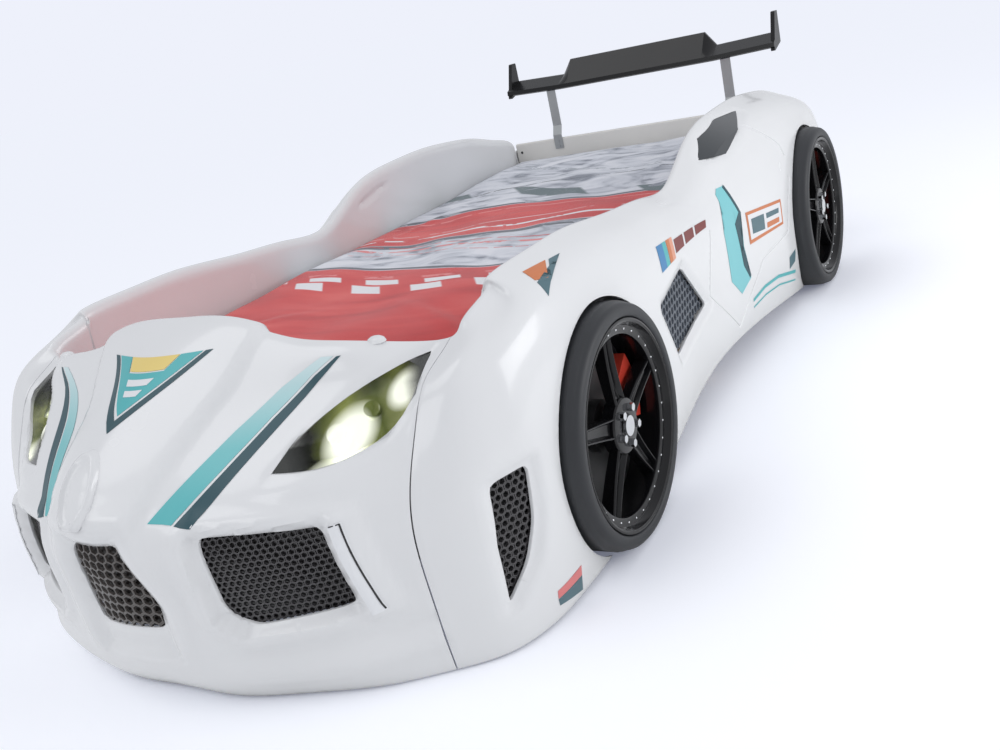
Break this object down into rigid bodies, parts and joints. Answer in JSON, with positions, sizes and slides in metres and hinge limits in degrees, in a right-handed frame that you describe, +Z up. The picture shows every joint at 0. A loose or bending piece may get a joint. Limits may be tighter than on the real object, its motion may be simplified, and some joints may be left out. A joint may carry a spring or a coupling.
{
  "type": "children's car bed",
  "caption": "Low child's bed shaped like a race car: thin moulded body shells, decorative wheels and lamps, slatted base, lift-out mattress with spread, rear wing on two straps.",
  "frame": {"origin": "on the floor, at the centre of the whole bed's box", "axes": "+Z up, the nose of the car towards -Y, the car's left side at +X"},
  "size_m": [1.262, 2.382, 0.676],
  "materials": {
    "cover_cloth": "printed cotton",
    "disc_black": "black",
    "caliper_red": "red",
    "timber": "pale pine",
    "mesh_black": "satin black",
    "board_white": "satin pale grey",
    "day_light": "clear white",
    "body_white": "gloss white moulding",
    "board_cream": "satin cream",
    "bowl": "bright yellow-green",
    "lens": "clear",
    "lamp": "lit white",
    "mattress_cloth": "plain white",
    "window_grey": "dark grey",
    "rim_black": "gloss black",
    "steel": "satin grey",
    "tyre": "charcoal",
    "chrome": "bright",
    "wing_black": "gloss black"
  },
  "bodies": {
    "bed": {"brake_disc_front_left": "disc_black", "brake_disc_front_right": "disc_black", "brake_disc_rear_left": "disc_black", "brake_disc_rear_right": "disc_black", "caliper_front_left": "caliper_red", "caliper_front_right": "caliper_red", "caliper_rear_left": "caliper_red", "caliper_rear_right": "caliper_red", "centre_beam": "timber", "corner_feet_left": "timber", "corner_feet_right": "timber", "corner_vent_left": "mesh_black", "corner_vent_right": "mesh_black", "cowl_shelf": "board_white", "day_light_left": "day_light", "day_light_right": "day_light", "flank_shell_left": "body_white", "flank_shell_right": "body_white", "foot_board": "board_white", "front_shell": "body_white", "head_board": "board_cream", "headlamp_bowl_left": "bowl", "headlamp_bowl_right": "bowl", "headlamp_lens_left": "lens", "headlamp_lens_right": "lens", "lamp_unit_left": "lamp", "lamp_unit_right": "lamp", "middle_leg_front": "timber", "middle_leg_rear": "timber", "nose_grille": "mesh_black", "outer_grille_left": "mesh_black", "outer_grille_right": "mesh_black", "quarter_window_left": "window_grey", "quarter_window_right": "window_grey", "rim_front_left": "rim_black", "rim_front_right": "rim_black", "rim_rear_left": "rim_black", "rim_rear_right": "rim_black", "side_board_left": "board_white", "side_board_right": "board_white", "side_vent_left": "mesh_black", "side_vent_right": "mesh_black", "slat_ledge_left": "timber", "slat_ledge_right": "timber", "slats": "timber", "strap_screws": "steel", "tyre_front_left": "tyre", "tyre_front_right": "tyre", "tyre_rear_left": "tyre", "tyre_rear_right": "tyre", "wheel_nuts_front_left": "chrome", "wheel_nuts_front_right": "chrome", "wheel_nuts_rear_left": "chrome", "wheel_nuts_rear_right": "chrome", "wing": "wing_black", "wing_strap_left": "steel", "wing_strap_right": "steel"},
    "bedding": {"mattress": "mattress_cloth", "bedspread": "cover_cloth"}
  },
  "joints": [
    {"name": "lift_out", "type": "slide", "parent": "bed", "child": "bedding", "axis": [0, 0, 1], "range_m": [0, 0.4]}
  ]
}
